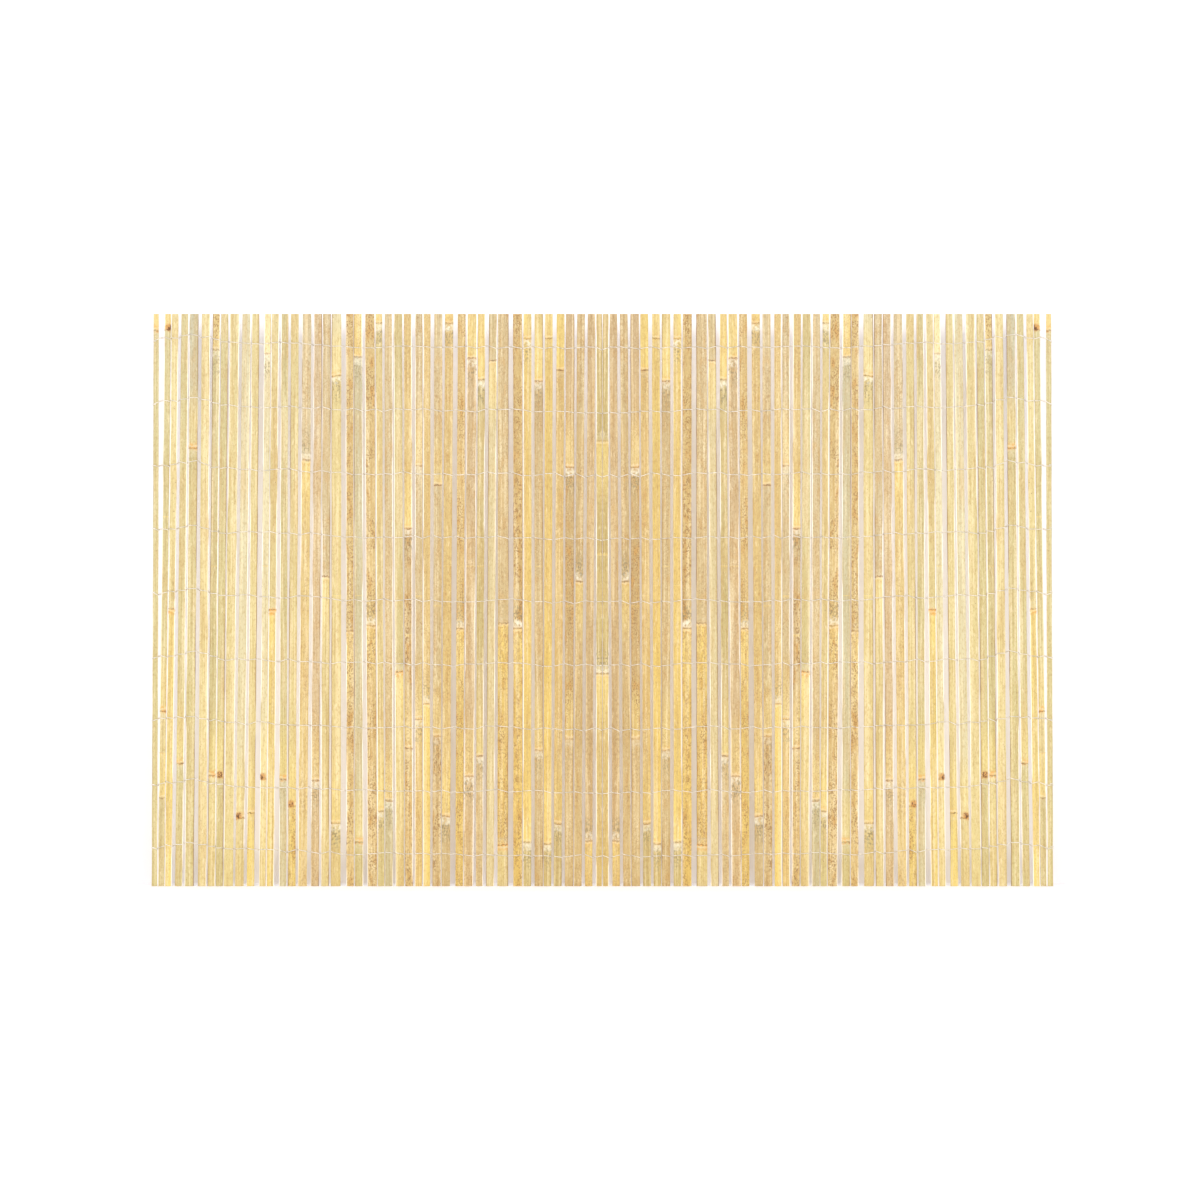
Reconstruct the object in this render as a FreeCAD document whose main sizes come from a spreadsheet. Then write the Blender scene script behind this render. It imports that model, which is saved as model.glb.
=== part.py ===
import FreeCAD, Part
import os

import Sketcher

# Bamboo fence panel: 88 split bamboo slats bound side by side by nine rows of doubled wire.
# X runs along the panel, the bark side faces -Y, Z is up, and the origin is the middle of the foot.
doc = FreeCAD.newDocument("bamboo_fence_panel")

# Driving dimensions, in millimetres
DIMENSIONS = (
    ("panel_height", 1000),
    ("slat_width", 14.1),
    ("slat_gap", 3.8),
    ("slat_thickness", 4),
    ("culm_radius", 32),
    ("joint_rise", 0.8),
    ("joint_length", 9),
    ("septum_rest", 1.2),
    ("septum_thickness", 4),
    ("wire_diameter", 1.2),
    ("wire_clearance", 0.15),
    ("wire_rows", 9),
    ("foot_margin", 52),
    ("head_margin", 61),
    ("wire_sag", 15),
    ("wire_hump", 10),
)
sizes = doc.addObject("Spreadsheet::Sheet", "Sizes")
for row, (alias, number) in enumerate(DIMENSIONS, start=1):
    sizes.set(f"A{row}", alias)
    sizes.set(f"B{row}", str(number))
    sizes.setAlias(f"B{row}", alias)
doc.recompute()

# Slats of one half, from the middle outwards; the other half mirrors them.
# Each row holds the width between the edge roundings, the gap from there to the inner neighbour at the foot
# and at the head, and the heights of the bamboo joints. Widths and gaps only give proportions: slat_width is
# the mean width of the slats over their roundings and slat_gap the mean gap at the foot.
# A joint height counts wire rows from the lowest one; past the top row it is a share of the head margin.
SLATS = (
    (9.4, 0.6, 0.6, (6.53, 2.86)),
    (11.2, 8.6, 3.6, (0.22,)),
    (11.9, 7.7, 7.0, (4.31,)),
    (13.6, 2.3, 6.1, (6.14, 1.86)),
    (11.9, 7.2, 4.0, (7.67, 0.52)),
    (11.9, 6.3, 9.1, (8.3, 0.2)),
    (13.3, 2.4, 4.2, (7.49, 1.67)),
    (13.3, 7.7, 7.3, (8.3, 0.22)),
    (15.0, 1.0, 2.3, (3.55,)),
    (17.0, 11.2, 9.8, (3.63, 0.13)),
    (12.2, 8.3, 3.4, (7.77,)),
    (11.5, 6.9, 8.8, (7.5, 1.57)),
    (16.4, 4.5, 1.6, (7.84, 1.25)),
    (12.2, 2.1, 4.2, (3.54,)),
    (12.9, 11.2, 9.8, (8.75, 0.62)),
    (12.6, 3.3, 6.1, (5.84, 1.88)),
    (11.2, 5.9, 8.4, (2.35,)),
    (11.5, 1.9, 2.3, (6.14, 2.15)),
    (11.9, 5.1, 7.9, (5.15, 1.69)),
    (12.9, 3.7, 5.1, (2.85,)),
    (12.2, 6.6, 3.8, (0.86,)),
    (10.5, 2.6, 6.1, (8.75, 0.69)),
    (15.7, 1.9, 2.3, (3.58,)),
    (14.0, 9.6, 6.1, (7.85, 0.2)),
    (12.2, 1.2, 1.2, (3.49,)),
    (15.0, 12.2, 9.1, (7.54, 0.49)),
    (12.6, 5.4, 4.0, (4.33,)),
    (12.9, 4.7, 1.9, (1.14,)),
    (14.0, 8.2, 6.1, (6.15,)),
    (11.9, 6.3, 8.0, (0.72,)),
    (10.8, 4.4, 6.5, (1.14,)),
    (12.2, 11.5, 5.6, (3.77,)),
    (10.5, 1.0, 1.2, (7.85, 1.14)),
    (11.4, 10.0, 10.4, (0.6,)),
    (12.9, 7.8, 3.9, (0.52,)),
    (15.7, 5.6, 7.3, ()),
    (11.5, 1.0, 2.8, (1.15,)),
    (11.2, 3.3, 3.7, (7.85, 1.14)),
    (12.9, 4.0, 5.8, ()),
    (14.0, 9.3, 8.2, (6.23,)),
    (11.2, 5.6, 2.8, (1.28,)),
    (11.2, 7.7, 6.3, (3.71,)),
    (11.2, 1.0, 1.7, (8.4, 2.15, 0.78)),
    (8.4, 1.0, 10.0, (8.4,)),
)

# Course of a wire row from the middle to the edge: share of the half width, share of the sag, share of the hump
WIRE_COURSE = (
    (0.0, 0.0, 0.0),
    (0.2, 0.2, 0.0),
    (0.56, 0.3, 0.0),
    (0.68, 0.65, 0.0),
    (0.84, 0.8, 0.0),
    (0.885, 1.0, 0.6),
    (0.915, 1.0, 1.0),
    (0.95, 1.0, 0.5),
    (1.0, 1.0, 0.0),
)


# A length is a set of shares of driving dimensions, so that it can be both worked out and bound.
def length(**shares):
    return shares


def plus(*lengths):
    total = {}
    for item in lengths:
        for alias, share in item.items():
            total[alias] = total.get(alias, 0) + share
    return total


def times(item, factor):
    return {alias: share * factor for alias, share in item.items()}


def amount(item):
    return sum(sizes.get(alias) * share for alias, share in item.items())


def formula(item):
    return " + ".join(f"Sizes.{alias} * ({share:.9f})" for alias, share in item.items())


def origin_plane(body, role):
    for feature in body.Origin.OriginFeatures:
        if feature.Role == role:
            return feature


def new_sketch(body, name, role):
    sketch = body.newObject("Sketcher::SketchObject", name)
    sketch.AttachmentSupport = [(origin_plane(body, role), "")]
    sketch.MapMode = "FlatFace"
    return sketch


# Draws straight lines through corners given as (across, up) lengths and binds every corner to the sheet.
def draw_lines(sketch, corners, closed=True):
    first = sketch.GeometryCount
    points = [FreeCAD.Vector(amount(across), amount(up), 0) for across, up in corners]
    steps = len(corners) if closed else len(corners) - 1
    lines = []
    for step in range(steps):
        lines.append(Part.LineSegment(points[step], points[(step + 1) % len(points)]))
    sketch.addGeometry(lines, False)
    rules = []
    for step in range(steps if closed else steps - 1):
        rules.append(Sketcher.Constraint("Coincident", first + step, 2, first + (step + 1) % steps, 1))
    bound = []
    offset = sketch.ConstraintCount
    for corner, (across, up) in enumerate(corners):
        line, end = (first + corner, 1) if corner < steps else (first + corner - 1, 2)
        for kind, axis, item in (("DistanceX", -2, across), ("DistanceY", -1, up)):
            number = amount(item)
            if abs(number) < 1e-9:
                rules.append(Sketcher.Constraint("PointOnObject", line, end, axis))
            elif number > 0:
                bound.append((offset + len(rules), formula(item)))
                rules.append(Sketcher.Constraint(kind, -1, 1, line, end, number))
            else:
                bound.append((offset + len(rules), formula(times(item, -1))))
                rules.append(Sketcher.Constraint(kind, line, end, -1, 1, -number))
    sketch.addConstraint(rules)
    for index, text in bound:
        sketch.setExpression(f"Constraints[{index}]", text)


# Corners of a four-sided wire section about a centre
def wire_section(across, up):
    half = length(wire_diameter=0.5)
    less = times(half, -1)
    return (
        (plus(across, half), plus(up, half)),
        (plus(across, less), plus(up, half)),
        (plus(across, less), plus(up, less)),
        (plus(across, half), plus(up, less)),
    )


# Sag and hump shares of the wire course at a share of the half width
def course_at(share):
    for (u0, sag0, hump0), (u1, sag1, hump1) in zip(WIRE_COURSE, WIRE_COURSE[1:]):
        if share <= u1:
            part = (share - u0) / (u1 - u0)
            return sag0 + part * (sag1 - sag0), hump0 + part * (hump1 - hump0)
    return WIRE_COURSE[-1][1:]


# Height of a place counted in wire rows, at a share of the half width
def height_at(bay, share):
    sag, hump = course_at(share)
    top_row = int(sizes.get("wire_rows")) - 1
    rows = min(bay, top_row) / top_row
    height = length(foot_margin=1 - rows, panel_height=rows, head_margin=-rows, wire_sag=sag, wire_hump=hump)
    if bay > top_row:
        above = bay - top_row
        height = plus(times(height, 1 - above), length(panel_height=above))
    return height


# A rounded edge reaches into its gap, as far as the narrower end of the gap keeps the least gap.
EDGE_ROUND = 1.0
LEAST_GAP = 1.1
rounds = [max(0, min(EDGE_ROUND, (min(row[1:3]) - LEAST_GAP) / 2)) for row in SLATS] + [EDGE_ROUND]
rounded = []
for (width, foot_gap, head_gap, joints), inner, outer in zip(SLATS, rounds, rounds[1:]):
    rounded.append((width + inner + outer, foot_gap - 2 * inner, head_gap - 2 * inner, joints))

# Where the slats stand: middle of each slat at foot and head, as lengths from the middle of the panel
widths = [row[0] for row in rounded]
foot_gaps = [row[1] for row in rounded]
mean_width = sum(widths) / len(rounded)
mean_gap = sum(foot_gaps) / len(rounded)
placed = []
width_sum = 0
foot_sum = 0
head_sum = 0
for width, foot_gap, head_gap, joints in rounded:
    foot_sum += foot_gap / mean_gap
    head_sum += head_gap / mean_gap
    share = width / mean_width
    foot = length(slat_width=width_sum + share / 2, slat_gap=foot_sum)
    head = length(slat_width=width_sum + share / 2, slat_gap=head_sum)
    width_sum += share
    placed.append((share, foot, head, joints))
foot_edge = length(slat_width=width_sum, slat_gap=foot_sum)
head_edge = length(slat_width=width_sum, slat_gap=head_sum)
widest = max(widths) / mean_width

# Depth from the bark crown to the back corners of the widest slat; the panel is centred on this depth.
slat_depth = (
    "(Sizes.culm_radius - (Sizes.culm_radius - Sizes.slat_thickness)"
    f" * cos(Sizes.slat_width * {widest / 2:.9f} / Sizes.culm_radius * 180 / pi))"
)


# One slat is a sector of a culm: the wall's lengthwise section turned about the culm's axis.
def make_slat(name, share, foot, head, joints, side):
    body = doc.addObject("PartDesign::Body", name)
    sketch = new_sketch(body, name + "_wall", "YZ_Plane")
    bark = length(culm_radius=-1)
    crest = length(culm_radius=-1, joint_rise=-1)
    pith = length(culm_radius=-1, slat_thickness=1)
    rest = length(culm_radius=-1, slat_thickness=1, septum_rest=1)
    reach = (amount(foot) + amount(head)) / (amount(foot_edge) + amount(head_edge))
    heights = [height_at(bay, reach) for bay in sorted(joints)]
    outer = [(bark, length())]
    inner = [(pith, length())]
    for height in heights:
        outer.append((bark, plus(height, length(joint_length=-0.5))))
        outer.append((crest, height))
        outer.append((bark, plus(height, length(joint_length=0.5))))
        inner.append((pith, plus(height, length(septum_thickness=-0.5))))
        inner.append((rest, height))
        inner.append((pith, plus(height, length(septum_thickness=0.5))))
    outer.append((bark, length(panel_height=1)))
    inner.append((pith, length(panel_height=1)))
    draw_lines(sketch, outer + inner[::-1])
    split = body.newObject("PartDesign::Revolution", name + "_split")
    split.Profile = sketch
    split.ReferenceAxis = (sketch, ["V_Axis"])
    split.Midplane = True
    split.setExpression("Angle", f"Sizes.slat_width * {share:.9f} / Sizes.culm_radius * 180 / pi")
    sketch.Visibility = False
    body.Placement = FreeCAD.Placement(FreeCAD.Vector(), FreeCAD.Rotation(FreeCAD.Vector(0, 1, 0), 1))
    lean = plus(head, times(foot, -1))
    body.setExpression("Placement.Base.x", formula(times(foot, side)))
    body.setExpression("Placement.Base.y", f"Sizes.culm_radius - {slat_depth} / 2")
    body.setExpression("Placement.Rotation.Angle", f"atan(({formula(times(lean, side))}) / Sizes.panel_height)")
    return body


slats = []
for number, (share, foot, head, joints) in enumerate(reversed(placed), start=1):
    slats.append(make_slat(f"slat_{number:02d}", share, foot, head, joints, -1))
for number, (share, foot, head, joints) in enumerate(placed, start=len(placed) + 1):
    slats.append(make_slat(f"slat_{number:02d}", share, foot, head, joints, 1))

nodes = []
for number in range(len(slats) // 2):
    pair = doc.addObject("Part::Compound", f"slat_pair_{number + 1:02d}")
    pair.Links = [slats[2 * number], slats[2 * number + 1]]
    nodes.append(pair)


# One run of a wire row along the panel, at a depth in front of the slats or behind them
def make_run(body, name, row, end, depth):
    course = []
    for share, sag, hump in WIRE_COURSE:
        course.append((times(end, share), height_at(row, share)))
    left = [(times(across, -1), up) for across, up in course[:0:-1]]
    spine = new_sketch(body, name + "_course", "XZ_Plane")
    spine.setExpression("AttachmentOffset.Base.z", f"-({depth})")
    draw_lines(spine, left + course, closed=False)
    section = new_sketch(body, name + "_section", "YZ_Plane")
    section.setExpression("AttachmentOffset.Base.z", formula(times(end, -1)))
    section.setExpression("AttachmentOffset.Base.x", depth)
    draw_lines(section, wire_section(length(), height_at(row, 1.0)))
    run = body.newObject("PartDesign::AdditivePipe", name)
    run.Profile = section
    run.Spine = (spine, [])
    run.Transition = "Right corner"
    return run


# One wire row: a run in front, a turn round each edge slat, and a run behind
def make_wire(name, row):
    body = doc.addObject("PartDesign::Body", name)
    edge_height = height_at(row, 1.0)
    rise = amount(edge_height) / sizes.get("panel_height")
    turn = plus(times(foot_edge, 1 - rise), times(head_edge, rise), length(wire_clearance=1, wire_diameter=0.5))
    end = plus(turn, length(wire_diameter=0.5))
    standoff = f"({slat_depth} / 2 + Sizes.wire_clearance + Sizes.wire_diameter / 2)"
    make_run(body, name + "_front", row, end, f"-{standoff}")
    turns = new_sketch(body, name + "_turns", "XZ_Plane")
    draw_lines(turns, wire_section(turn, edge_height))
    draw_lines(turns, wire_section(times(turn, -1), edge_height))
    legs = body.newObject("PartDesign::Pad", name + "_legs")
    legs.Profile = turns
    legs.Midplane = True
    legs.setExpression("Length", f"2 * {standoff} + Sizes.wire_diameter")
    make_run(body, name + "_back", row, end, standoff)
    return body


for row in range(int(sizes.get("wire_rows"))):
    nodes.append(make_wire(f"binding_wire_{row + 1}", row))

doc.recompute()

for item in doc.Objects:
    if "Invalid" in item.State or "Error" in item.State:
        raise RuntimeError(f"{item.Name} did not build: {item.State}")

os.makedirs("parts", exist_ok=True)
for node in nodes:
    node.Label = node.Name
    if node.Shape.isNull() or not node.Shape.isValid():
        raise RuntimeError(f"{node.Name} has no valid shape")
    node.Shape.exportStep(f"parts/{node.Name}.step")
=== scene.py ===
import math

import bpy
import numpy as np
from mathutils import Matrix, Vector


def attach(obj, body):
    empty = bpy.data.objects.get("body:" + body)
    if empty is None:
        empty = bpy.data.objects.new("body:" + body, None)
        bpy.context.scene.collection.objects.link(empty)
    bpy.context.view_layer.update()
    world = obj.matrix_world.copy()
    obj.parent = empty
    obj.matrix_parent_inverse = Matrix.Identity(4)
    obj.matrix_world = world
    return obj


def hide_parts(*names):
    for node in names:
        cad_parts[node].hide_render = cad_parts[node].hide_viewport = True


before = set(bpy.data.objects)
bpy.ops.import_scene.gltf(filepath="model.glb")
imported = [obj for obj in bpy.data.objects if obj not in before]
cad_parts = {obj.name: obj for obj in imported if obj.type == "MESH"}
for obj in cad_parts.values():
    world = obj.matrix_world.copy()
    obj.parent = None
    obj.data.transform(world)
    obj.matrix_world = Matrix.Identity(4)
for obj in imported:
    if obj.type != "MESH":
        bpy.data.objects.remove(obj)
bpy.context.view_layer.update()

MM = 0.001
SHARP_DEGREES = 38

# Measures of the CAD slats: slice that holds an end's corners, share of the joint's rise that tells a
# crest, least distance between joints, and a hair off the head, which keeps it inside the CAD box
END_SLICE = 1 * MM
CREST_SHARE = 0.45
JOINTS_APART = 5 * MM
HAIR = 0.001 * MM

# A slat's section, in millimetres: points across bark and pith, and the rounded corners as pairs of
# inset from the split side and depth from the bark or the pith
BARK_POINTS = 11
PITH_POINTS = 7
BARK_CORNER = ((0.45, 0.0), (0.14, 0.09), (0.0, 0.42))
PITH_CORNER = ((0.0, 0.35), (0.3, 0.04), (0.8, 0.0))

# A slat's rows: even ones, and close ones at millimetres from each joint
EVEN_ROWS = 59
JOINT_ROWS = (
    -22, -16, -12, -9, -7, -5.5, -4.4, -3.6, -3, -2.4, -1.8, -1.1, -0.4,
    0.4, 1.2, 2.2, 3.4, 5, 7, 9, 12, 16, 22,
)

# A joint's swelling is a sum of bells: share of the rise, and place and width in millimetres along the
# growth. They are the ridge, the sheath scar, the groove between them and the broad swelling.
# A slat without joints has one far below its foot.
JOINT_RISE = 0.8 * MM
JOINT_BELLS = ((0.80, 1.4, 2.3), (0.45, -2.7, 0.8), (-0.15, -0.9, 0.7), (0.20, 0.0, 9.0))
JOINT_TILT = 0.10
NO_JOINT = -1.0
SEPTUM_REST = 1.2 * MM
SEPTUM_WIDTH = 1.6

# A bud's oval, in millimetres, its place past the joint, and the share of the half width that it may lie
# off the slat's middle
BUD_RISE = 0.5 * MM
BUD_WIDTH = 4.4
BUD_LENGTH = 5.2
BUD_ABOVE = 2.5
BUD_SPREAD = 0.7
BUD_OFF_MIDDLE = 0.35
NO_BUD = 9.0

# Chance shares of a slat: bark waves, kinks in millimetres and bow of its middle line, turn of a narrow
# slat in radians, and how far marks and tones vary
SLAT_SEED = 700
BARK_WAVE = 0.06 * MM
KINK = 0.25
BOW = 0.2 * MM
TURN = 0.05
NARROW_HALF_ANGLE = 0.24
MARK_RANGE = (0.75, 1.1)
TONE_RANGE = (0.95, 1.04)

# Split edges: share of brown ones, share of outer ones at the panel's edge that carry a painted
# highlight, a near-white line, how fast that falls toward the middle, and the part of it that inner ones
# have. NO_EDGE puts edges of another kind out of a line's reach.
BROWN_EDGES = 0.12
PAINTED_HIGHLIGHT_EDGES = 0.80
PAINTED_HIGHLIGHT_FALL = 1.6
INNER_PAINTED_HIGHLIGHT = 1 / 3
NO_EDGE = 9.0

# Each slat has its own stretch of the bark's patterns, in millimetres across and in the third direction.
GRAIN_STEP = 40.0
GRAIN_LAYER = 3.7

# Wire strands: how far they keep off slats and their edges, depth and corners of the CAD row's front run,
# and how far a strand rises in its twist and strays at a gap
WIRE_RADIUS = 0.6 * MM
WIRE_SIDES = 6
WIRE_CLEARANCE = 0.1 * MM
EDGE_CLEARANCE = 0.12 * MM
FRONT_RUN = -2 * MM
CORNERS_APART = 3 * MM
TWIST_RISE = 0.75 * MM
WIRE_STRAY = 3.0 * MM
WIRE_SEED = 40

# Photograph: 1200 pixels across, panel 572 pixels high, its middle at (602.4, 600)
FRAME_PIXELS = 1200
PANEL_PIXELS = 572
PANEL_MIDDLE_PIXEL = 602.4
CAMERA_DISTANCE = 5.8
SENSOR_MM = 36.0

# Tones of dried bamboo bark, each with how much brown mottling it carries: cream, yellow, straw,
# flecked straw, amber, khaki, grey khaki, tan, pinkish tan, mottled amber, mottled brown. Heads are
# a little greyer and darker than feet, whose brighter straw is painted light, and slats near the middle
# of the panel are painted browner and darker, a painted shade.
TONES = {
    "c": ("#EAE3BC", 0.06),
    "y": ("#E8DA9E", 0.12),
    "s": ("#F3DF8C", 0.15),
    "f": ("#F0DA88", 0.75),
    "a": ("#EAD494", 0.35),
    "k": ("#D7CD97", 0.15),
    "g": ("#D3CFAE", 0.15),
    "t": ("#DDCEA6", 0.40),
    "p": ("#DCC9A6", 0.35),
    "m": ("#E6D094", 0.80),
    "b": ("#D8C496", 0.85),
}
BARK_SHADE = 0.83
# Along the height, slats are tinted from a brighter straw at the foot, which is painted light, to a
# greyer head
HEAD_TINT = "#EDEEF2"
FOOT_PAINTED_LIGHT = "#FCF8EC"
CLEAN_STRETCH = "#E6D07A"
MIDDLE_PAINTED_SHADE = "#EEE1C8"
MIDDLE_SHADE_POWER = 1.5

# How a joint looks: strength of its scar line, wax band, orange stain and dark bud
JOINT_MARKS = {
    "|": (0.75, 0.15, 0.25, 0.0),
    "!": (0.60, 0.75, 0.30, 0.0),
    "=": (0.70, 0.25, 0.90, 0.0),
    "*": (0.75, 0.10, 0.60, 1.0),
    ".": (0.25, 0.30, 0.20, 0.0),
}

# Slats of the left half from the edge to the middle, each read from the head down.
# The sign says which way the culm grew (+ up, so the wax band lies under each joint); tones between
# joints and the marks of the joints take turns.
SLAT_LOOKS = (
    "+a=k", "+a*k=y|k", "-y=s", "+k=k", "+g=k", "+y", "+b!k=y", "+k*k", "+y", "+c*y", "+y|s",
    "+c!c*y", "-y=s", "+k=g", "+y*f", "-t!a", "+p!p", "-t|y", "+c!y!y", "-m|m", "+a!g=k", "-m!m",
    "+a!y!k", "+t!g", "-k=y", "+a!b|m", "+t.t!a", "-a!s", "+t|t.b", "+a!a!t", "-m!f", "+y!p!p",
    "+s!k!t", "-g|c", "-t|f=g", "-m!f", "+y!s!k", "+y!t!t", "+y|s!k", "+s|a!k", "+p!b.t", "-t!t",
    "-p!a", "-k.k!y",
)
SLAT_COUNT = 2 * len(SLAT_LOOKS)

# Slats of the left half with a dark brown split edge, counted from 0 at the panel's edge: -1 for the
# outer edge, 1 for the inner edge
DARK_EDGES = {6: -1, 7: 1, 16: 1, 40: 1}


def srgb(code):
    """Turns an sRGB hex colour into linear RGBA: each channel c becomes ((c + 0.055) / 1.055) ** 2.4."""
    channels = [int(code[i:i + 2], 16) / 255 for i in (1, 3, 5)]
    linear = [c / 12.92 if c <= 0.04045 else ((c + 0.055) / 1.055) ** 2.4 for c in channels]
    return (*linear, 1.0)


def add_node(tree, kind, inputs=(), **settings):
    """Adds a node, sets its properties, and sets or links each named or numbered input."""
    node = tree.nodes.new(kind)
    for name, value in settings.items():
        setattr(node, name, value)
    for key, value in dict(inputs).items():
        if isinstance(value, bpy.types.NodeSocket):
            tree.links.new(value, node.inputs[key])
        else:
            node.inputs[key].default_value = value
    return node


def new_material(name):
    """An empty node material with its shader and output, returned as (material, tree, shader)."""
    material = bpy.data.materials.new(name)
    material.use_nodes = True
    tree = material.node_tree
    tree.nodes.clear()
    shader = add_node(tree, "ShaderNodeBsdfPrincipled")
    add_node(tree, "ShaderNodeOutputMaterial", {"Surface": shader.outputs["BSDF"]})
    return material, tree, shader


def grain_cloud(tree, grain, across, along, texture=()):
    """Noise whose clouds measure across by along millimetres on a slat's own grain."""
    scaled = add_node(tree, "ShaderNodeMapping", {"Vector": grain, "Scale": (1 / across, 1 / along, 1.0)})
    inputs = {"Vector": scaled.outputs[0], "Scale": 1.0, **dict(texture)}
    return add_node(tree, "ShaderNodeTexNoise", inputs).outputs["Fac"]


def lay_patches(tree, colour, grain, layers):
    """Lays patches of other tones over a colour. A layer's patches measure across by along millimetres on
    the slat's own grain, and show more as their noise goes from the start level to the full one."""
    for across, along, detail, start, full, strength, tone, blend in layers:
        cloud = grain_cloud(tree, grain, across, along, {"Detail": detail, "Roughness": 0.55})
        amount = add_node(
            tree, "ShaderNodeMapRange",
            {"Value": cloud, "From Min": start, "From Max": full, "To Max": strength},
            interpolation_type="SMOOTHSTEP",
        )
        over = add_node(
            tree, "ShaderNodeMix", {0: amount.outputs["Result"], 6: colour, 7: srgb(tone)},
            data_type="RGBA", blend_type=blend,
        )
        colour = over.outputs[2]
    return colour


def lay_bands(tree, colour, distance, bands):
    """Lays bands of other tones over a colour. A band fades in from its start to its full distance, in
    millimetres past a joint or an edge, and fades out from its fade to its end distance."""
    for start, full, fade, end, strength, tone in bands:
        rise = add_node(
            tree, "ShaderNodeMapRange",
            {"Value": distance, "From Min": start, "From Max": full, "To Max": strength},
            interpolation_type="SMOOTHSTEP",
        )
        fall = add_node(
            tree, "ShaderNodeMapRange",
            {
                "Value": distance, "From Min": fade, "From Max": end,
                "To Min": rise.outputs["Result"], "To Max": 0.0,
            },
            interpolation_type="SMOOTHSTEP",
        )
        over = add_node(
            tree, "ShaderNodeMix", {0: fall.outputs["Result"], 6: colour, 7: srgb(tone)}, data_type="RGBA"
        )
        colour = over.outputs[2]
    return colour


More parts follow.
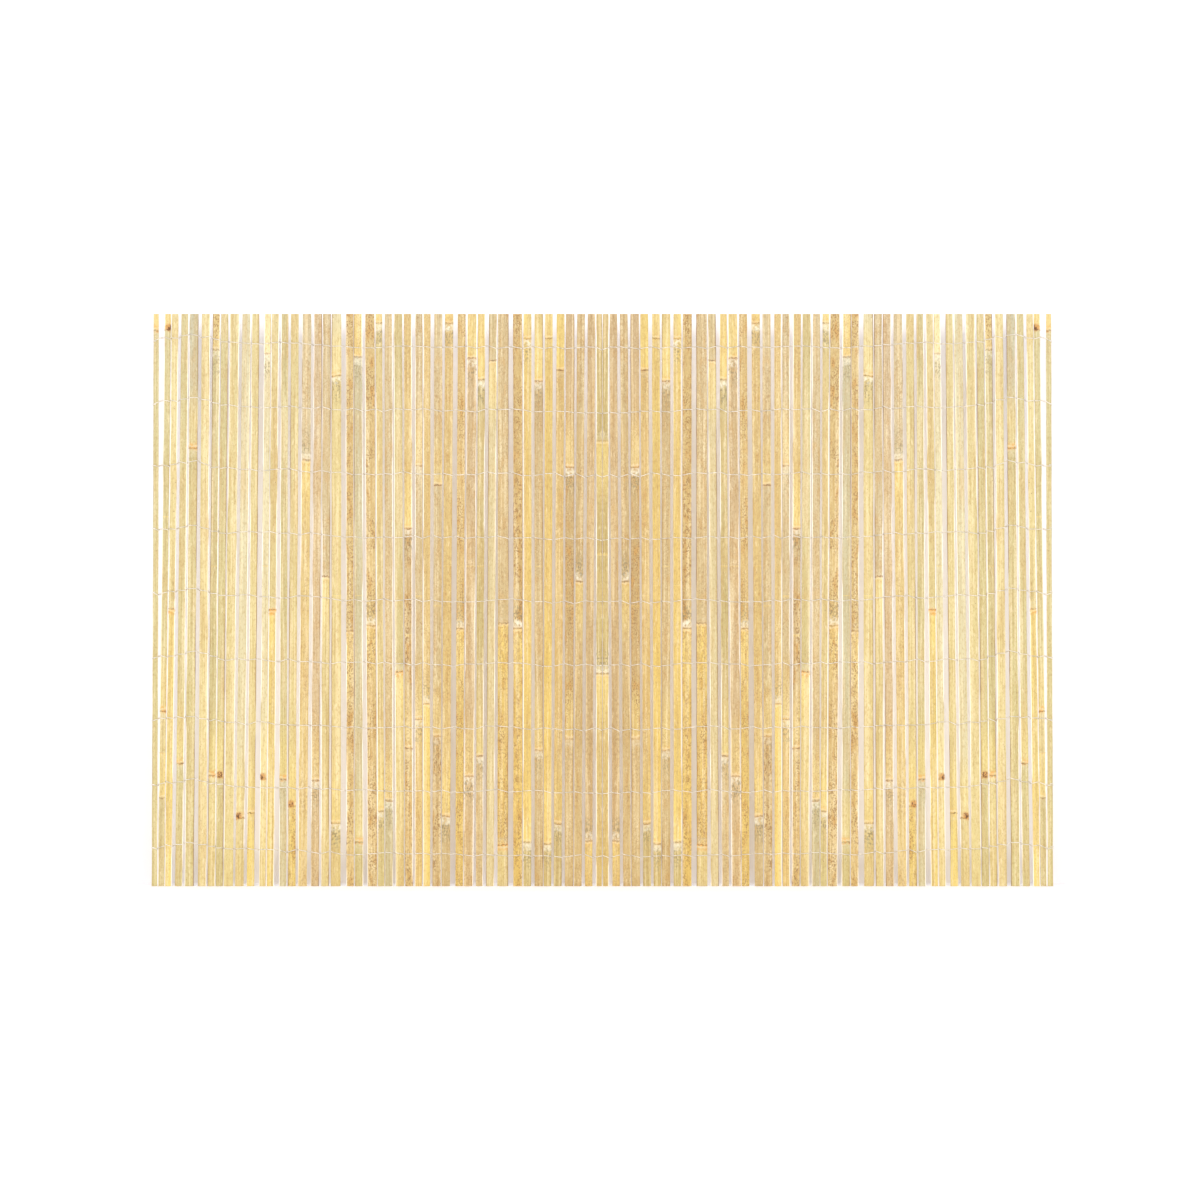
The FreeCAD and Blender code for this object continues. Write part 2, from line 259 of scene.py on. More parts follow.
def bark_material():
    """Dried bamboo bark, the culm's silica-rich skin as grown: satin, with lengthwise fibres and bands,
    brown mould mottles, and at each joint a brown scar, an orange stain, a pale wax band on the lower
    side with mould specks past it, and a brighter stretch above where the sheath kept the skin clean."""
    material, tree, shader = new_material("dried_bamboo_bark")
    look = {
        name: add_node(tree, "ShaderNodeAttribute", attribute_name=name)
        for name in ("grain", "tone", "joint", "mottle", "marks", "edges")
    }
    grain = look["grain"].outputs["Vector"]
    marks = add_node(tree, "ShaderNodeSeparateXYZ", {0: look["marks"].outputs["Vector"]})
    scar, wax, stain = marks.outputs
    edges = add_node(tree, "ShaderNodeSeparateXYZ", {0: look["edges"].outputs["Vector"]})
    brown_edge, painted_highlight_edge, bud = edges.outputs

    # Joint bands have ragged edges, shifted by up to 1.5 mm.
    ragged = grain_cloud(tree, grain, 4, 5)
    shift = add_node(
        tree, "ShaderNodeMapRange",
        {"Value": ragged, "From Min": 0.3, "From Max": 0.7, "To Min": -1.5, "To Max": 1.5},
    )
    joint = add_node(
        tree, "ShaderNodeMath", {0: look["joint"].outputs["Fac"], 1: shift.outputs["Result"]}
    ).outputs[0]
    colour = lay_bands(tree, look["tone"].outputs["Color"], joint, (
        (0.0, 4.0, 35.0, 130.0, 0.38, CLEAN_STRETCH),
    ))

    # Bands run the length of a culm. Fibres are about 0.4 mm wide and flecks 0.6 mm; both are drawn
    # 1.5 to 3 mm wide so that they show.
    colour = lay_patches(tree, colour, grain, (
        (6.0, 420.0, 2.0, 0.50, 0.66, 0.40, "#B29C68", "MIX"),
        (4.5, 300.0, 2.0, 0.50, 0.36, 0.40, "#EADDB6", "MIX"),
        (14.0, 150.0, 3.0, 0.46, 0.70, 0.35, "#C3A56C", "MIX"),
        (1.5, 110.0, 3.0, 0.46, 0.68, 0.45, "#D3BC8A", "MULTIPLY"),
        (2.4, 6.0, 3.0, 0.48, 0.68, 0.40, "#CDB27C", "MULTIPLY"),
        (3.0, 14.0, 3.0, 0.44, 0.30, 0.30, "#EFE2BC", "MIX"),
    ))

    # Mould mottles stand in clusters 60 mm long, with specks 2 to 3 mm across.
    cluster = add_node(
        tree, "ShaderNodeMapRange",
        {"Value": grain_cloud(tree, grain, 14, 60), "From Min": 0.36, "From Max": 0.58, "To Min": 0.2},
    )
    mould = add_node(
        tree, "ShaderNodeMath", {0: cluster.outputs["Result"], 1: look["mottle"].outputs["Fac"]},
        operation="MULTIPLY",
    ).outputs[0]
    colour = lay_patches(tree, colour, grain, (
        (7.0, 26.0, 5.0, 0.46, 0.66, mould, "#B48A46", "MIX"),
        (2.2, 3.2, 2.0, 0.51, 0.59, mould, "#86602E", "MIX"),
        (2.0, 3.2, 1.0, 0.73, 0.79, 0.75, "#6C4A24", "MIX"),
    ))

    # Split edges carry brown lines or painted highlights, near-white lines, about 1 mm wide, broken along
    # the slat.
    broken_line = add_node(
        tree, "ShaderNodeMapRange",
        {"Value": grain_cloud(tree, grain, 30, 130), "From Min": 0.36, "From Max": 0.50, "To Max": 0.85},
    ).outputs["Result"]
    colour = lay_bands(tree, colour, brown_edge, ((-3.0, -2.0, 0.5, 1.9, broken_line, "#7E5628"),))
    colour = lay_bands(tree, colour, painted_highlight_edge, ((-3.0, -2.0, 0.5, 1.7, broken_line, "#FFFAF0"),))

    # Joint marks are broken up, some by specks 2.4 mm wide and some by the clouds of the ragged edges.
    speck = grain_cloud(tree, grain, 2.4, 4)
    wax_specks, wax_cover, broken_scar, broken_stain, bud_specks = (
        add_node(
            tree, "ShaderNodeMapRange",
            {"Value": cloud, "From Min": start, "From Max": full, "To Max": strength},
        ).outputs["Result"]
        for cloud, start, full, strength in (
            (speck, 0.50, 0.61, wax),
            (ragged, 0.34, 0.62, wax),
            (speck, 0.36, 0.50, scar),
            (ragged, 0.40, 0.58, stain),
            (speck, 0.49, 0.55, 0.95),
        )
    )
    colour = lay_bands(tree, colour, joint, (
        (-65.0, -24.0, -14.0, -6.0, wax_specks, "#75694A"),
        (-20.0, -10.0, -3.6, -2.4, wax_cover, "#DED8C1"),
        (-7.0, -2.0, 2.0, 12.0, broken_stain, "#CC9440"),
        (-3.6, -2.8, -2.0, -1.0, broken_scar, "#6A451F"),
        # Painted highlight: a pale band along each joint's ridge, full from 0.4 to 2 mm past the joint
        (-0.6, 0.4, 2.0, 4.0, 0.30, "#F0DFB0"),
    ))
    colour = lay_bands(tree, colour, bud, (
        (-2.0, -1.0, 0.7, 1.7, 0.80, "#B88038"),
        (-2.0, -1.0, 0.7, 1.4, bud_specks, "#5A3510"),
    ))
    tree.links.new(colour, shader.inputs["Base Color"])

    fibre = grain_cloud(tree, grain, 0.5, 40)
    polish = add_node(
        tree, "ShaderNodeMapRange",
        {"Value": fibre, "From Min": 0.3, "From Max": 0.7, "To Min": 0.42, "To Max": 0.62},
    )
    tree.links.new(polish.outputs["Result"], shader.inputs["Roughness"])
    shader.inputs["IOR"].default_value = 1.48
    bump = add_node(tree, "ShaderNodeBump", {"Strength": 0.35, "Distance": 0.4 * MM, "Height": fibre})
    tree.links.new(bump.outputs[0], shader.inputs["Normal"])
    return material


def pith_material():
    """Split faces and pith side of a bamboo slat, torn along the grain: matt, pale and fibrous, browner
    where the rest of a joint's inner wall stands."""
    material, tree, shader = new_material("split_bamboo_pith")
    look = {
        name: add_node(tree, "ShaderNodeAttribute", attribute_name=name)
        for name in ("grain", "tone", "joint")
    }
    grain = look["grain"].outputs["Vector"]
    paler = add_node(
        tree, "ShaderNodeMix", {0: 0.55, 6: look["tone"].outputs["Color"], 7: srgb("#D9C497")},
        data_type="RGBA",
    )
    # Torn fibres are about 0.4 mm wide and are drawn 0.9 mm wide so that they show.
    colour = lay_patches(tree, paler.outputs[2], grain, (
        (0.9, 70.0, 3.0, 0.42, 0.66, 0.50, "#CFA869", "MIX"),
        (9.0, 60.0, 3.0, 0.52, 0.75, 0.40, "#B98F58", "MIX"),
        (2.5, 160.0, 2.0, 0.55, 0.72, 0.50, "#F8EBC8", "MIX"),
    ))
    colour = lay_bands(tree, colour, look["joint"].outputs["Fac"], (
        (-4.0, -1.0, 1.0, 4.0, 0.60, "#A67A42"),
    ))
    tree.links.new(colour, shader.inputs["Base Color"])
    shader.inputs["Roughness"].default_value = 0.82
    fibre = grain_cloud(tree, grain, 0.9, 70, {"Detail": 3.0})
    bump = add_node(tree, "ShaderNodeBump", {"Strength": 0.6, "Distance": 0.5 * MM, "Height": fibre})
    tree.links.new(bump.outputs[0], shader.inputs["Normal"])
    return material


def end_material():
    """Sawn end of a bamboo wall: matt, with the dark dots of cut fibre bundles."""
    material, tree, shader = new_material("sawn_bamboo_end")
    position = add_node(tree, "ShaderNodeTexCoord").outputs["Object"]
    # Fibre bundles are about 0.4 mm across and are drawn 0.8 mm apart.
    dots = add_node(tree, "ShaderNodeTexVoronoi", {"Vector": position, "Scale": 1 / (0.8 * MM)})
    amount = add_node(
        tree, "ShaderNodeMapRange",
        {
            "Value": dots.outputs["Distance"], "From Min": 0.25, "From Max": 0.5,
            "To Min": 0.75, "To Max": 0.0,
        },
    )
    colour = add_node(
        tree, "ShaderNodeMix", {0: amount.outputs["Result"], 6: srgb("#E2C88F"), 7: srgb("#8F6A3A")},
        data_type="RGBA",
    )
    tree.links.new(colour.outputs[2], shader.inputs["Base Color"])
    shader.inputs["Roughness"].default_value = 0.9
    return material


def wire_material():
    """Galvanised steel tie wire, hot-dipped: zinc under a white bloom, with dull patches 6 mm long."""
    material, tree, shader = new_material("galvanised_wire")
    position = add_node(tree, "ShaderNodeTexCoord").outputs["Object"]
    cloud = add_node(tree, "ShaderNodeTexNoise", {"Vector": position, "Scale": 1 / (6 * MM)})
    patch = cloud.outputs["Fac"]
    amount = add_node(tree, "ShaderNodeMapRange", {"Value": patch, "From Min": 0.4, "From Max": 0.65})
    colour = add_node(
        tree, "ShaderNodeMix", {0: amount.outputs["Result"], 6: srgb("#F1ECE1"), 7: srgb("#C9C3B5")},
        data_type="RGBA",
    )
    tree.links.new(colour.outputs[2], shader.inputs["Base Color"])
    polish = add_node(
        tree, "ShaderNodeMapRange",
        {"Value": patch, "From Min": 0.35, "From Max": 0.7, "To Min": 0.30, "To Max": 0.48},
    )
    tree.links.new(polish.outputs["Result"], shader.inputs["Roughness"])
    shader.inputs["Metallic"].default_value = 0.4
    return material


def node_solids(node):
    """The separate solids of a CAD node, each an array of its corner points, found by giving every
    point the lowest number that its triangles can reach."""
    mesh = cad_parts[node].data
    points = np.empty(len(mesh.vertices) * 3)
    mesh.vertices.foreach_get("co", points)
    mesh.calc_loop_triangles()
    corners = np.empty(len(mesh.loop_triangles) * 3, dtype=np.int64)
    mesh.loop_triangles.foreach_get("vertices", corners)
    points, same = np.unique(np.round(points.reshape(-1, 3), 6), axis=0, return_inverse=True)
    triangles = same.ravel()[corners].reshape(-1, 3)
    label = np.arange(len(points))
    before = None
    while before is None or (before != label).any():
        before = label.copy()
        lowest = label[triangles].min(axis=1)
        np.minimum.at(label, triangles.ravel(), np.repeat(lowest, 3))
    return [points[label == number] for number in np.unique(label)]


def run_means(points, axis, apart):
    """Sorts points along an axis and gives the mean point of each run; a step over apart starts a run."""
    points = points[points[:, axis].argsort()]
    run = np.concatenate([[0], np.cumsum(np.diff(points[:, axis]) > apart)])
    return np.stack([np.bincount(run, column) / np.bincount(run) for column in points.T], axis=1)


def read_slat(points):
    """Measures one CAD slat: places of its foot and head, bark radius from chord and sagitta, wall
    thickness from its back corners, and heights of its joint crests."""
    top = points[:, 2].max() - HAIR
    foot = points[points[:, 2] < END_SLICE]
    head = points[points[:, 2] > top - END_SLICE]
    chord = foot[:, 0].max() - foot[:, 0].min()
    crown = foot[:, 1].min()
    sagitta = foot[foot[:, 0].argmax(), 1] - crown
    radius = (chord ** 2 / 4 + sagitta ** 2) / (2 * sagitta)
    half_angle = math.asin(chord / 2 / radius)
    depth = foot[:, 1].max() - crown
    crest = points[points[:, 1] < crown - CREST_SHARE * JOINT_RISE]
    return {
        "foot": (foot[:, 0].max() + foot[:, 0].min()) / 2,
        "head": (head[:, 0].max() + head[:, 0].min()) / 2,
        "top": top,
        "crown": crown,
        "radius": radius,
        "half_angle": half_angle,
        "thickness": radius - (radius - depth) / math.cos(half_angle),
        "depth": depth,
        "joints": run_means(crest, 2, JOINTS_APART)[:, 2] if len(crest) else np.array([NO_JOINT]),
    }


def slat_rows(slat):
    """Heights of a slat's grid rows: even steps of 17 mm, with close steps through each joint."""
    at_joints = (slat["joints"][:, None] + np.array(JOINT_ROWS) * MM).ravel()
    heights = np.concatenate([np.linspace(0, slat["top"], EVEN_ROWS), at_joints])
    return np.unique(np.clip(np.round(heights, 5), 0, slat["top"]))


def edge_wander(heights, chance):
    """How far a split edge strays: a long and a short sine along the slat, up to 0.25 mm in all."""
    long_wave = np.sin(heights * chance.uniform(20, 50) + chance.uniform(0, 6))
    short_wave = np.sin(heights * chance.uniform(90, 160) + chance.uniform(0, 6))
    return (0.16 * long_wave + 0.09 * short_wave) * MM


def slat_surface(slat, number, look):
    """A split slat as a loop of section points carried up its rows. In polar form about the culm's axis,
    the loop runs over the bark, round each rounded corner, down the split side and along the pith; at
    each joint the bark swells by a broad bell, a ridge above and a sharp sheath scar below, a bud stands
    out as a small oval bump, and the pith side keeps a ragged rib. The split edges stray a little and the
    middle line kinks at the joints. A slat of the right half mirrors its twin of the left half."""
    twin = min(number, SLAT_COUNT - 1 - number)
    side = 1 if number == twin else -1
    chance = np.random.RandomState(SLAT_SEED + twin)
    radius, wall, half = slat["radius"], slat["thickness"], slat["half_angle"]
    bark_inset, bark_depth = np.array(BARK_CORNER).T * MM
    pith_inset, pith_depth = np.array(PITH_CORNER).T * MM
    bark = np.linspace(-1, 1, BARK_POINTS) * (half - bark_inset[0] / radius)
    pith = np.linspace(1, -1, PITH_POINTS) * (half - pith_inset[-1] / radius)
    edge_angle = half - np.concatenate([bark_inset[1:], [0.0], pith_inset[:-1]]) / radius
    edge_depth = np.concatenate([bark_depth[1:], [wall / 2], wall - pith_depth[:-1]])
    angle = np.concatenate([bark, edge_angle, pith, -edge_angle[::-1]])
    depth = np.concatenate([
        np.zeros(BARK_POINTS), edge_depth, np.full(PITH_POINTS, wall), edge_depth[::-1],
    ])
    on_bark = np.clip(1 - depth / (0.5 * wall), 0, 1)
    on_pith = np.clip((depth - 0.5 * wall) / (0.5 * wall), 0, 1)
    heights = slat_rows(slat)
    across = side * angle * radius / MM

    growth = 1 if look[0] == "+" else -1
    letters = look[1::2][::-1]
    joints = slat["joints"]
    marks = np.array([JOINT_MARKS[mark] for mark in look[2::2][::-1]] or [(0.0, 0.0, 0.0, 0.0)])
    marks[:, :3] *= chance.uniform(*MARK_RANGE, (len(joints), 3))
    nearest = np.abs(heights[:, None] - joints).argmin(axis=1)
    tilt = chance.uniform(-JOINT_TILT, JOINT_TILT, len(joints))[nearest]
    above = (heights - joints[nearest])[:, None] / MM + tilt[:, None] * across
    distance = growth * above

    off_middle = chance.uniform(-BUD_OFF_MIDDLE, BUD_OFF_MIDDLE, len(joints)) * half * radius / MM
    bud_across = (across - off_middle[nearest][:, None]) / BUD_WIDTH
    bud = np.hypot(bud_across, (distance - BUD_ABOVE) / BUD_LENGTH)
    bud = np.where(marks[nearest, 3:] > 0, bud, NO_BUD)
    swell = JOINT_RISE * sum(
        rise * np.exp(-((distance - place) / width) ** 2) for rise, place, width in JOINT_BELLS
    )
    swell += BUD_RISE * np.exp(-(bud / BUD_SPREAD) ** 2)
    ragged = 0.55 + 0.45 * np.sin(across * 0.7 + chance.uniform(0, 6))
    rib = np.exp(-(distance / SEPTUM_WIDTH) ** 2) * SEPTUM_REST * ragged
    phase = heights[:, None] * chance.uniform(35, 60) + across * 0.3 + chance.uniform(0, 6)
    out = radius - depth + on_bark * (swell + BARK_WAVE * np.sin(phase)) - on_pith * rib

    share = side * angle / half
    low_edge = edge_wander(heights, chance)[:, None] * np.clip(-share, 0, 1) ** 2
    high_edge = edge_wander(heights, chance)[:, None] * np.clip(share, 0, 1) ** 2
    turn = side * chance.uniform(-TURN, TURN) if half < NARROW_HALF_ANGLE else 0.0
    spread = angle + turn + side * (low_edge + high_edge) / radius
    along = heights / slat["top"]
    kink = np.interp(heights, joints, chance.uniform(-KINK, KINK, len(joints)) * MM)
    bow = BOW * np.sin(along * chance.uniform(4, 9) + chance.uniform(0, 6))
    middle = slat["foot"] + (slat["head"] - slat["foot"]) * along + side * (kink + bow)
    x = middle[:, None] + out * np.sin(spread) - (radius - wall / 2) * math.sin(turn)
    y = slat["crown"] + radius - out * np.cos(spread)
    z = np.broadcast_to(heights[:, None], x.shape)

    rows, loop = x.shape
    step = np.arange(loop)
    first = np.arange(rows - 1)[:, None] * loop + step
    second = np.arange(rows - 1)[:, None] * loop + (step + 1) % loop
    quads = np.stack([first, second, second + loop, first + loop], axis=2).reshape(-1, 4)
    # Bark, finish 0, covers the rounded corners beside it as well; the rest is pith, finish 1.
    corner_steps = len(BARK_CORNER) - 1
    finish = np.where((step < BARK_POINTS - 1 + corner_steps) | (step >= loop - corner_steps), 0, 1)

    stretch = np.clip(nearest[:, None] + (above > 0), 0, len(letters) - 1)
    palette = np.array([srgb(TONES[letter][0]) for letter in letters])
    # Painted shade: slats are darkened and browned toward the middle of the panel
    inward = (2 * twin / SLAT_COUNT) ** MIDDLE_SHADE_POWER
    palette *= 1 - inward + inward * np.array(srgb(MIDDLE_PAINTED_SHADE))
    palette[:, :3] *= BARK_SHADE * chance.uniform(*TONE_RANGE, (len(letters), 1))
    # Painted light along the height: brighter straw at the foot, darker and greyer at the head
    tint_and_painted_light = np.array(srgb(FOOT_PAINTED_LIGHT)) * (1 - along[:, None]) + np.array(srgb(HEAD_TINT)) * along[:, None]
    mottle = np.array([TONES[letter][1] for letter in letters])
    # Painted highlight along split edges: its share is highest at the panel's edge and falls toward the
    # middle
    painted_highlight_share = PAINTED_HIGHLIGHT_EDGES * (1 - PAINTED_HIGHLIGHT_FALL * twin / SLAT_COUNT)
    low_kind, high_kind = (
        chance.choice(3, p=(BROWN_EDGES, painted_highlight, 1 - BROWN_EDGES - painted_highlight))
        for painted_highlight in (painted_highlight_share, painted_highlight_share * INNER_PAINTED_HIGHLIGHT)
    )
    low_kind = 0 if DARK_EDGES.get(twin) == -1 else low_kind
    high_kind = 0 if DARK_EDGES.get(twin) == 1 else high_kind
    from_low = half * radius / MM + across
    from_high = half * radius / MM - across
    brown, painted_highlight = (
        np.minimum(from_low + NO_EDGE * (low_kind != kind), from_high + NO_EDGE * (high_kind != kind))
        for kind in (0, 1)
    )
    blank = np.zeros(x.shape)
    return {
        "points": np.stack([x, y, z], axis=2).reshape(-1, 3),
        "quads": quads,
        "finish": np.broadcast_to(finish, (rows - 1, loop)).ravel(),
        "caps": [step[::-1], (rows - 1) * loop + step],
        "grain": np.stack(
            [across + twin * GRAIN_STEP + blank, z / MM, blank + twin * GRAIN_LAYER], axis=2
        ),
        "tone": palette[stretch] * tint_and_painted_light[:, None],
        "joint": distance,
        "edges": np.stack([blank + brown, blank + painted_highlight, bud], axis=2),
        "mottle": mottle[stretch],
        "marks": blank[:, :, None] + marks[nearest, None, :3],
    }


def add_piece(name, points, faces, materials, finish, node):
    """Puts arrays into a mesh piece that stands for a CAD node and rides on the panel."""
    mesh = bpy.data.meshes.new(name)
    mesh.from_pydata(points.tolist(), [], faces)
    mesh.polygons.foreach_set("use_smooth", np.ones(len(faces), dtype=bool))
    mesh.polygons.foreach_set("material_index", np.asarray(finish, dtype=np.int32))
    for material in materials:
        mesh.materials.append(material)
    mesh.set_sharp_from_angle(angle=math.radians(SHARP_DEGREES))
    piece = bpy.data.objects.new(name, mesh)
    bpy.context.scene.collection.objects.link(piece)
    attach(piece, "root")
    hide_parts(node)
    return mesh


def add_slat_pair(node, surfaces, materials):
    """Joins the two slats of a CAD node into one piece, with their attributes."""
    start = np.cumsum([0] + [len(surface["points"]) for surface in surfaces])
    faces = []
    finish = []
    for surface, offset in zip(surfaces, start):
        faces += (surface["quads"] + offset).tolist()
        faces += [(cap + offset).tolist() for cap in surface["caps"]]
        finish += surface["finish"].tolist() + [2, 2]
    points = np.concatenate([surface["points"] for surface in surfaces])
    name = node.replace("slat_pair", "slats")
    mesh = add_piece(name, points, faces, materials, finish, node)
    for name, kind, field in (
        ("grain", "FLOAT_VECTOR", "vector"),
        ("tone", "FLOAT_COLOR", "color"),
        ("joint", "FLOAT", "value"),
        ("edges", "FLOAT_VECTOR", "vector"),
        ("mottle", "FLOAT", "value"),
        ("marks", "FLOAT_VECTOR", "vector"),
    ):
        values = np.concatenate([surface[name].ravel() for surface in surfaces]).astype(np.float32)
        mesh.attributes.new(name, kind, "POINT").data.foreach_set(field, values)


def read_course(node):
    """Course of a CAD wire row: places and heights of its front run's corners, from left to right."""
    points = np.concatenate(node_solids(node))
    corners = run_means(points[points[:, 1] < FRONT_RUN], 0, CORNERS_APART)
    return corners[:, 0], corners[:, 2]


def strand_path(slats, course, row, strand):
    """Course of one strand: in front of every second slat and behind the others, touching bark or back
    corners, and through each gap half a turn about its twin, one strand above and one below. The row
    strays up or down by a chance amount at each gap and runs straight from gap to gap."""
    reach = np.array([-1.0, -0.7, -0.35, 0.0, 0.35, 0.7, 1.0])
    heights = np.interp([(slat["foot"] + slat["head"]) / 2 for slat in slats], *course)
    share = heights / np.array([slat["top"] for slat in slats])
    foot = np.array([slat["foot"] for slat in slats])
    head = np.array([slat["head"] for slat in slats])
    middle = foot * (1 - share) + head * share
    radius = np.array([slat["radius"] for slat in slats])
    half = np.array([slat["half_angle"] for slat in slats])
    crown = np.array([slat["crown"] for slat in slats])
    back = crown + np.array([slat["depth"] for slat in slats])
    in_front = (np.arange(len(slats)) + row + strand) % 2 == 0

    x = middle[:, None] + (radius * np.sin(half))[:, None] * reach
    gap = WIRE_RADIUS + WIRE_CLEARANCE
    bark = crown[:, None] + radius[:, None] * (1 - np.cos(half[:, None] * reach)) - gap
    y = np.where(in_front[:, None], bark, (back + gap)[:, None])
    chance = np.random.RandomState(WIRE_SEED + row)
    half_stray = chance.uniform(-WIRE_STRAY, WIRE_STRAY, len(slats) // 2 + 1)
    stray = np.concatenate([half_stray, half_stray[-2::-1]])
    strayed = (stray[:-1, None] * (1 - reach) + stray[1:, None] * (1 + reach)) / 2
    twist = np.where(in_front, -1.0, 1.0)[:, None] * TWIST_RISE * reach ** 3
    z = np.interp(middle, *course)[:, None] + strayed + twist

    between = (x[:-1, -1] + x[1:, 0]) / 2
    level = (z[:-1, -1] + z[1:, 0]) / 2
    passing = np.stack([between, (y[:-1, -1] + y[1:, 0]) / 2, level], axis=1)
    on_slats = np.stack([x, y, z], axis=2)
    path = np.concatenate([on_slats[:-1], passing[:, None]], axis=1).reshape(-1, 3)
    path = np.concatenate([path, on_slats[-1]])
    left_turn = edge_turn(path[0], -1, in_front[0])[::-1]
    right_turn = edge_turn(path[-1], 1, in_front[-1])
    return np.concatenate([left_turn, path, right_turn])


def edge_turn(end, side, in_front):
    """Turn of a strand round an edge slat's outer edge, with a short tail bent along its other face: a
    row of points that leave the strand's end, pass the edge and change height a little on the way."""
    out = WIRE_RADIUS + EDGE_CLEARANCE
    way = 1 if in_front else -1
    inward = -side * MM
    return np.array([
        end + (side * out, way * 0.9 * MM, 0),
        (end[0] + side * out, 0.25 * MM * way, end[2] - 0.5 * MM * way),
        (end[0] + side * out * 0.9, way * 2.1 * MM, end[2] - 0.8 * MM * way),
        (end[0] + 1.2 * inward, way * 3.15 * MM, end[2] - 1.2 * MM * way),
        (end[0] + 4.5 * inward, way * 3.2 * MM, end[2] - 1.3 * MM * way),
    ])


def round_off(path):
    """Cuts each corner of a path at a quarter and three quarters of its runs, which smooths it."""
    first = 0.75 * path[:-1] + 0.25 * path[1:]
    second = 0.25 * path[:-1] + 0.75 * path[1:]
    inner = np.stack([first, second], axis=1).reshape(-1, 3)
    return np.concatenate([path[:1], inner, path[-1:]])


def wire_tube(path, radius, sides):
    """A ring of points carried along a path, each ring square to it, with both ends closed."""
    along = np.gradient(path, axis=0)
    along /= np.linalg.norm(along, axis=1)[:, None]
    level = np.cross(along, (0.0, 0.0, 1.0))
    level /= np.linalg.norm(level, axis=1)[:, None]
    upright = np.cross(level, along)
    turn = np.arange(sides) * 2 * math.pi / sides
    ring = np.cos(turn)[None, :, None] * level[:, None] + np.sin(turn)[None, :, None] * upright[:, None]
    points = (path[:, None] + radius * ring).reshape(-1, 3)
    first = np.arange(len(path) - 1)[:, None] * sides + np.arange(sides)
    second = np.arange(len(path) - 1)[:, None] * sides + (np.arange(sides) + 1) % sides
    quads = np.stack([first, first + sides, second + sides, second], axis=2).reshape(-1, 4)
    last = (len(path) - 1) * sides
    return points, quads, [np.arange(sides), last + np.arange(sides)[::-1]]


def add_wire_row(node, row, slats, material):
    """Two strands twined through the slats along a CAD wire row's course."""
    course = read_course(node)
    points = []
    faces = []
    offset = 0
    for strand in (0, 1):
        path = round_off(strand_path(slats, course, row, strand))
        ring_points, quads, caps = wire_tube(path, WIRE_RADIUS, WIRE_SIDES)
        points.append(ring_points)
        faces += (quads + offset).tolist()
        faces += [(cap + offset).tolist() for cap in caps]
        offset += len(ring_points)
    name = node.replace("binding_wire", "twined_wire")
    add_piece(name, np.concatenate(points), faces, [material], np.zeros(len(faces)), node)


def add_stage(name, corners, colour):
    """A flat white sheet of the studio, which isn't part of the panel."""
    mesh = bpy.data.meshes.new(name)
    mesh.from_pydata(corners, [], [(0, 1, 2, 3)])
    material, tree, shader = new_material(name)
    shader.inputs["Base Color"].default_value = srgb(colour)
    shader.inputs["Roughness"].default_value = 0.95
    shader.inputs["Specular IOR Level"].default_value = 0.0
    mesh.materials.append(material)
    sheet = bpy.data.objects.new(name, mesh)
    bpy.context.scene.collection.objects.link(sheet)
    return sheet, tree, shader


def add_softbox(name, place, aim, width, height, watts, colour):
    """A flat soft light of a width and height, turned from its place to its aim, unseen by the camera."""
    light = bpy.data.lights.new(name, "AREA")
    light.shape = "RECTANGLE"
    light.size = width
    light.size_y = height
    light.energy = watts
    light.color = srgb(colour)[:3]
    softbox = bpy.data.objects.new(name, light)
    softbox.location = place
    softbox.rotation_euler = (Vector(aim) - Vector(place)).to_track_quat("-Z", "Y").to_euler()
    softbox.visible_camera = False
    bpy.context.scene.collection.objects.link(softbox)


bamboo = [bark_material(), pith_material(), end_material()]
galvanised = wire_material()
slat_nodes = sorted(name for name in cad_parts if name.startswith("slat_pair"))
wire_nodes = sorted(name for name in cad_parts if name.startswith("binding_wire"))
looks = SLAT_LOOKS + SLAT_LOOKS[::-1]

slats = []
for node in slat_nodes:
    pair = sorted((read_slat(points) for points in node_solids(node)), key=lambda slat: slat["foot"])
    surfaces = []
    for slat in pair:
        surfaces.append(slat_surface(slat, len(slats), looks[len(slats)]))
        slats.append(slat)
    add_slat_pair(node, surfaces, bamboo)
for row, node in enumerate(wire_nodes):
    add_wire_row(node, row, slats, galvanised)

# Studio: pale floor, a white card leaning back behind the panel, cool light all round, two warm
# softboxes in front and one behind, weak lamps beside the panel and between panel and card, so that the
# card looks white in the outer gaps and lilac in the middle ones, and weak lamps over the floor at the
# panel's foot and near the camera. The card throws no shadow and its back is clear, so that the panel's
# back can be seen and lit.
STAGE_REACH = 9.0
FLOOR_DROP = 0.2 * MM
CARD_FOOT = 0.05
CARD_LEAN = 0.06
SKY_STRENGTH = 0.89
world = bpy.data.worlds.new("studio")
bpy.context.scene.world = world
world.use_nodes = True
world.node_tree.nodes["Background"].inputs["Color"].default_value = srgb("#F9F8FF")
world.node_tree.nodes["Background"].inputs["Strength"].default_value = SKY_STRENGTH
floor_corners = [
    (x * STAGE_REACH, y * STAGE_REACH, -FLOOR_DROP) for x, y in ((-1, -1), (1, -1), (1, 1), (-1, 1))
]
add_stage("pale_floor", floor_corners, "#FCFCFF")
card_corners = [
    (x * STAGE_REACH, CARD_FOOT + z * CARD_LEAN * STAGE_REACH, z * STAGE_REACH)
    for x, z in ((-1, 0), (1, 0), (1, 1), (-1, 1))
]
card, card_tree, card_shader = add_stage("white_card", card_corners, "#F2F2F7")
card.visible_shadow = False
card.visible_diffuse = False
card.visible_glossy = False
behind = add_node(card_tree, "ShaderNodeNewGeometry").outputs["Backfacing"]
clear = add_node(card_tree, "ShaderNodeBsdfTransparent").outputs[0]
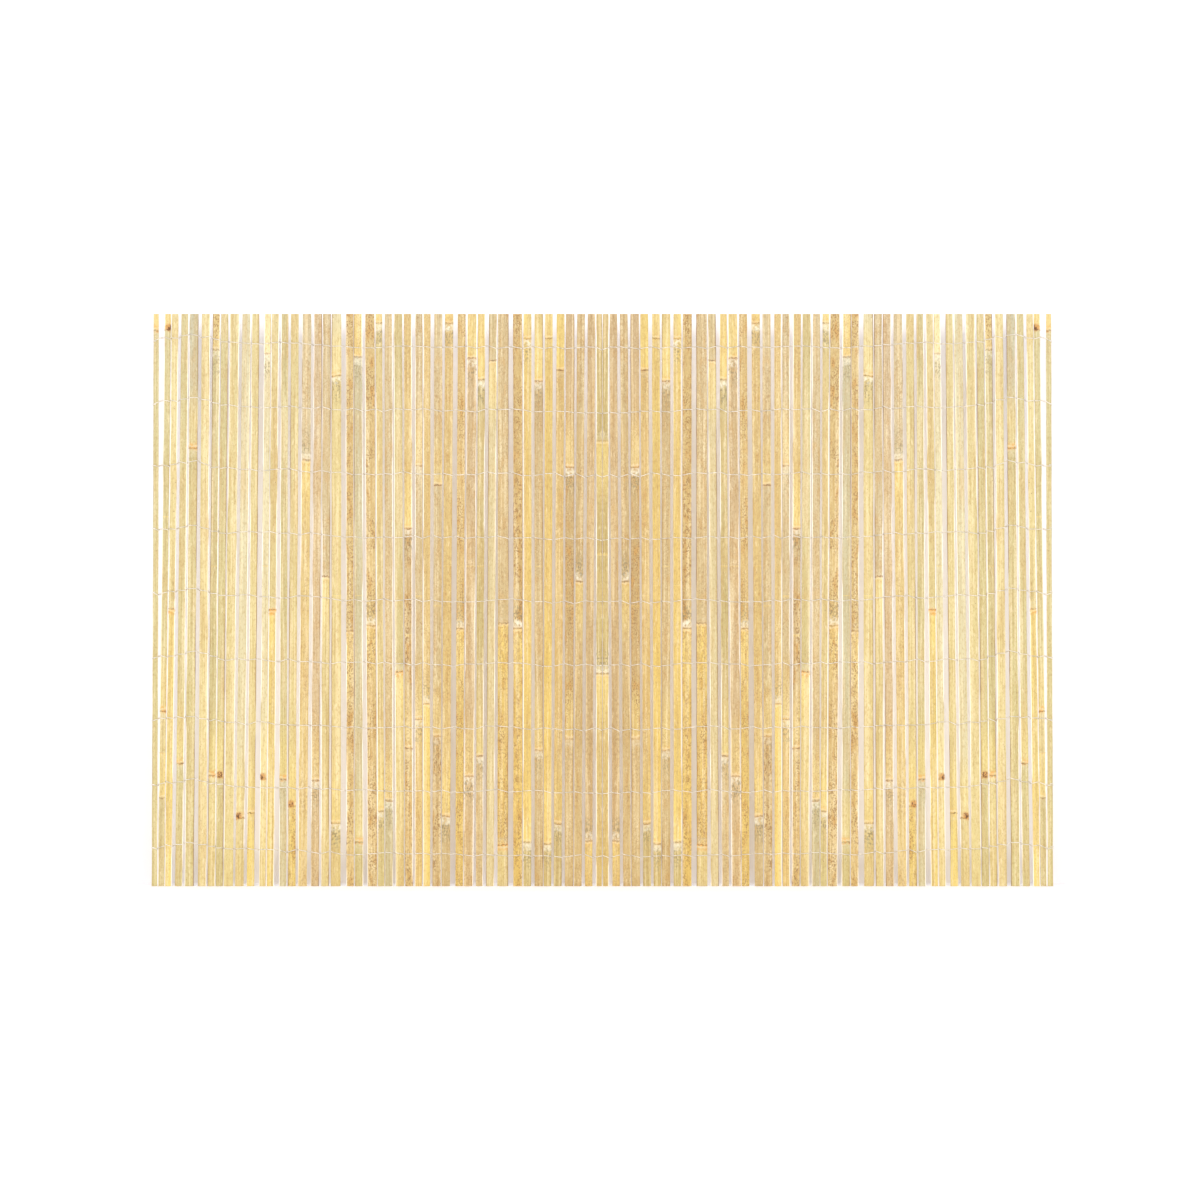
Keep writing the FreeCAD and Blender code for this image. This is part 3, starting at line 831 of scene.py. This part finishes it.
one_sided = add_node(card_tree, "ShaderNodeMixShader", {0: behind, 1: card_shader.outputs[0], 2: clear})
card_tree.links.new(one_sided.outputs[0], card_tree.nodes["Material Output"].inputs["Surface"])

panel_height = max(slat["top"] for slat in slats)
panel_middle = (0.0, 0.0, panel_height / 2)
for side in (-1, 1):
    add_softbox("front_softbox", (side * 1.25, -2.3, 1.3), panel_middle, 0.9, 0.9, 26, "#FCF6E8")
    add_softbox("side_lamp", (side * 1.5, 0.05, 0.6), (side * 0.55, 0.1, 0.5), 0.4, 0.4, 0.14, "#FFF6E4")
    lamp_place = (side * 0.56, 0.02, 0.42)
    add_softbox("card_lamp", lamp_place, (side * 0.56, 1.0, 0.42), 0.42, 0.74, 0.24, "#FFFFFF")
add_softbox("middle_lamp", (0, 0.02, 0.46), (0, 1.0, 0.46), 0.7, 0.92, 0.13, "#EEF0FF")
add_softbox("head_lamp", (0, 0.02, 0.92), (0, 1.0, 0.92), 1.24, 0.14, 0.13, "#FFFAF4")
add_softbox("floor_lamp", (0, -0.3, 0.25), (0, -0.3, 0), 1.6, 0.3, 0.45, "#EEF4FF")
add_softbox("near_floor_lamp", (0, -3.0, 0.6), (0, -3.0, 0), 1.6, 0.8, 1.4, "#FFFFFF")
add_softbox("back_softbox", (0.6, 3.0, 2.2), panel_middle, 1.6, 1.6, 15, "#FFF6E4")

frame_height = panel_height * FRAME_PIXELS / PANEL_PIXELS
shift = (PANEL_MIDDLE_PIXEL - FRAME_PIXELS / 2) * panel_height / PANEL_PIXELS
camera_data = bpy.data.cameras.new("camera")
camera_data.sensor_width = SENSOR_MM
camera_data.lens = SENSOR_MM * CAMERA_DISTANCE / frame_height
camera = bpy.data.objects.new("camera", camera_data)
camera.location = (-shift, -CAMERA_DISTANCE, panel_height / 2)
camera.rotation_euler = (math.radians(90), 0, 0)
bpy.context.scene.collection.objects.link(camera)
bpy.context.scene.camera = camera
bpy.context.scene.view_settings.view_transform = "Standard"

bpy.context.view_layer.update()
